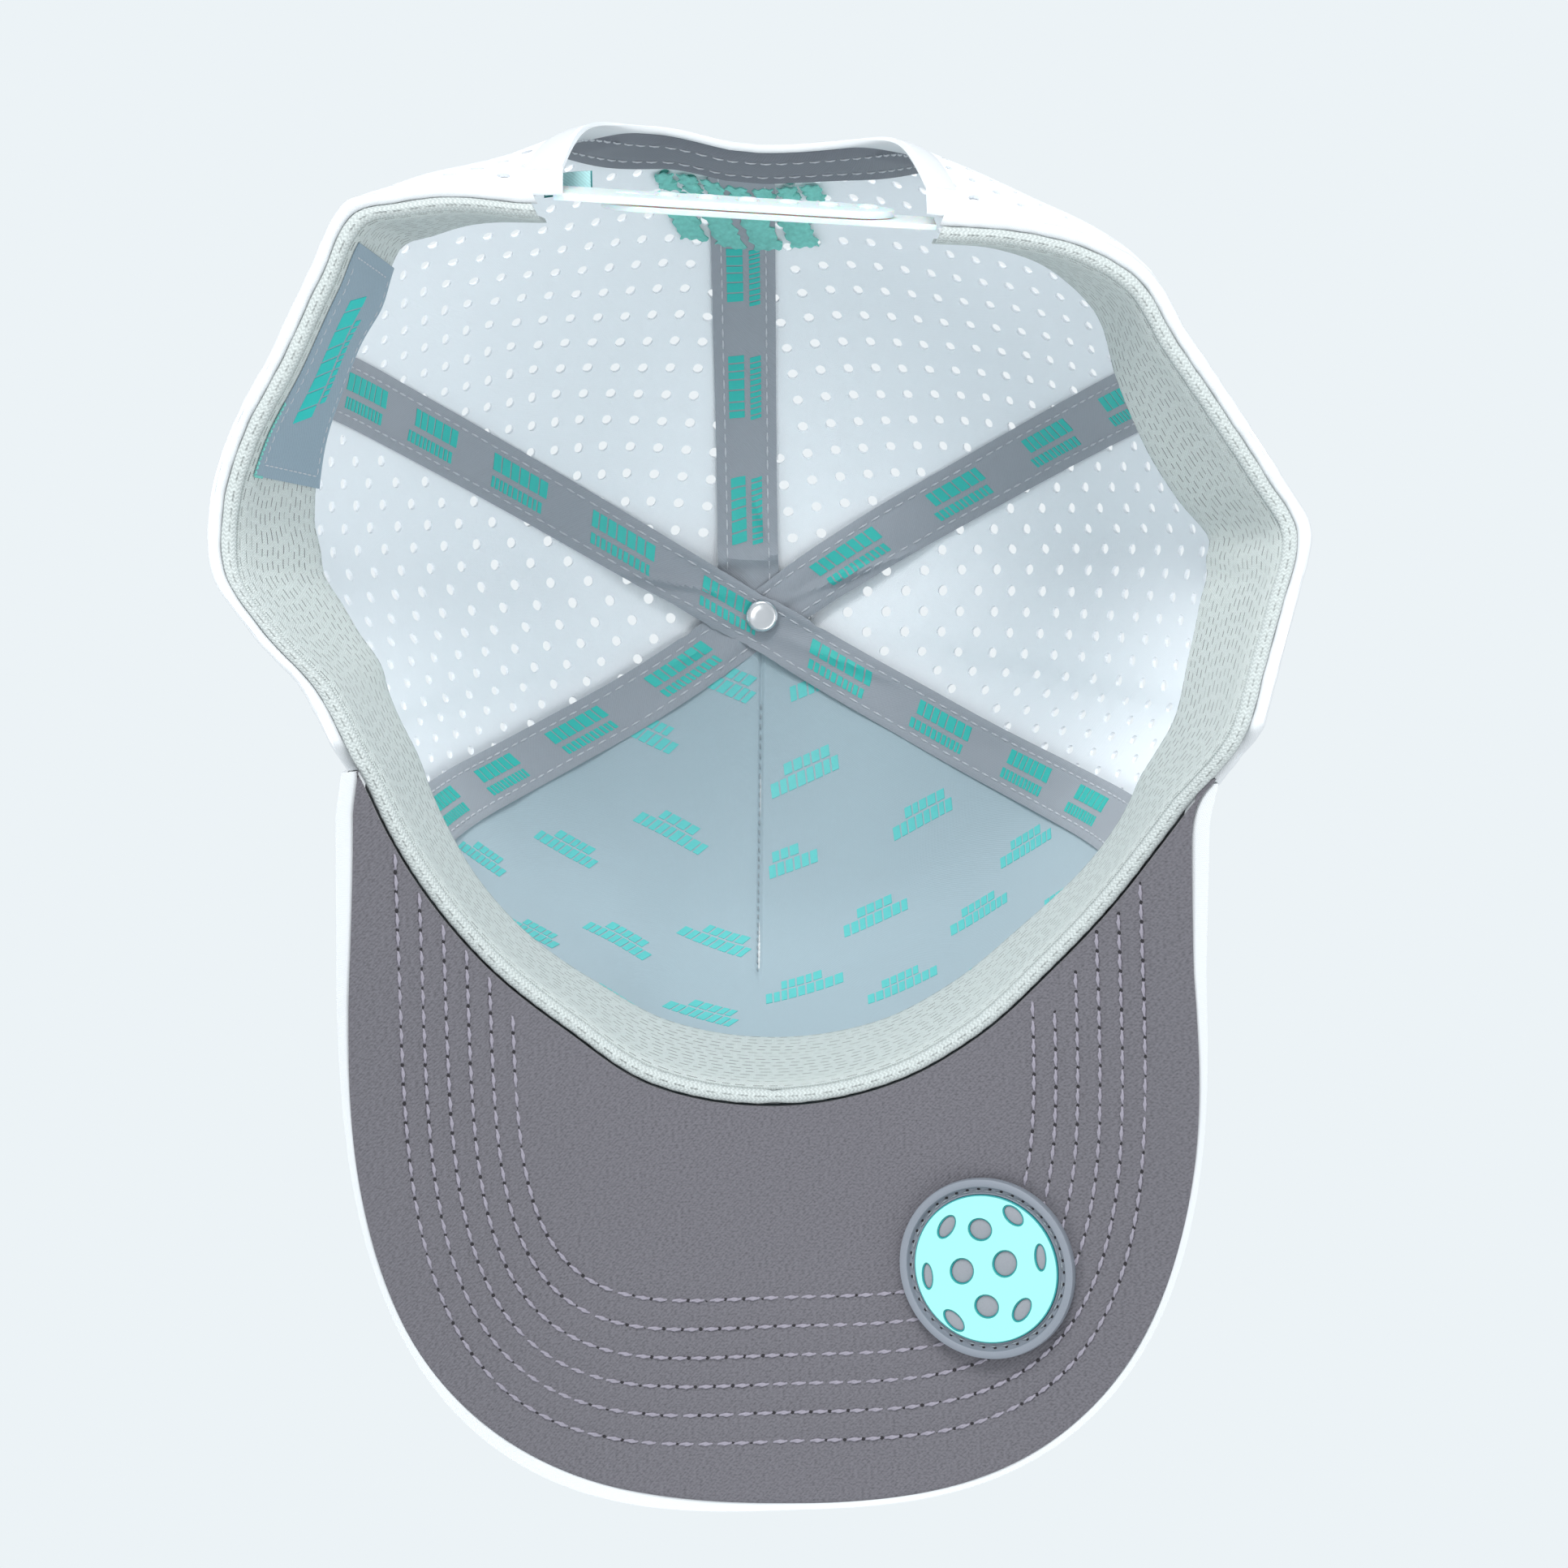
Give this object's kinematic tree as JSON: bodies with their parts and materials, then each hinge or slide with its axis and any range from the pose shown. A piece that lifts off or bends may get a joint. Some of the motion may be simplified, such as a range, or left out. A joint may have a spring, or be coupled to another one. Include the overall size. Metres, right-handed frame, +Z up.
{
  "type": "snapback cap",
  "caption": "Five-panel baseball cap with a curved brim, inner seam tapes, sweatband, round brim badge and an adjustable two-strap stud closure.",
  "frame": {"origin": "centre of the head opening, level with the rolled sweatband edge at the closure", "axes": "+Z up through the top button, -Y towards the brim, +Y towards the rear closure, +X to the side with the sweatband label"},
  "size_m": [0.2009, 0.2638, 0.141],
  "materials": {
    "shell": "smooth woven polyester",
    "stiffener": "open buckram",
    "lining": "smooth woven lining",
    "tape": "twill tape",
    "band": "heather knit",
    "brim_cloth": "fine twill",
    "board": "moulded board",
    "label": "woven label",
    "thread": "embroidery thread",
    "patch_grey": "soft matt",
    "patch_mint": "soft matt",
    "strap": "semi-matt moulded",
    "metal": "bright"
  },
  "bodies": {
    "cap": {"front_panel": "shell", "left_side_panel": "shell", "right_side_panel": "shell", "left_rear_panel": "shell", "right_rear_panel": "shell", "top_button": "shell", "brim_top_cover": "shell", "front_buckram": "stiffener", "front_lining": "lining", "rear_seam_tape": "tape", "lower_cross_tape": "tape", "upper_cross_tape": "tape", "arch_tape": "tape", "sweatband": "band", "sweatband_edge": "band", "sweatband_label": "label", "brim_under_cover": "brim_cloth", "brim_board": "board", "patch_base": "patch_grey", "patch_face": "patch_mint", "flag_label": "thread", "rear_embroidery": "thread", "embroidery_backing": "thread", "button_rivet": "metal"},
    "hole_strap": {"hole_strap": "strap"},
    "stud_strap": {"stud_strap": "strap"}
  },
  "joints": [
    {"name": "hole_strap_swing", "type": "hinge", "parent": "cap", "child": "hole_strap", "pos_m": [0.03477, 0.08564, 0.00932], "axis": [0.0129, -0.1386, -0.9903], "range_deg": [0, 60], "stiffness_Nm_per_rad": 0.02},
    {"name": "stud_strap_flex", "type": "hinge", "parent": "cap", "child": "stud_strap", "pos_m": [-0.03479, 0.07758, 0.00954], "axis": [0.0129, -0.1386, -0.9903], "range_deg": [0, 35], "stiffness_Nm_per_rad": 0.02}
  ]
}
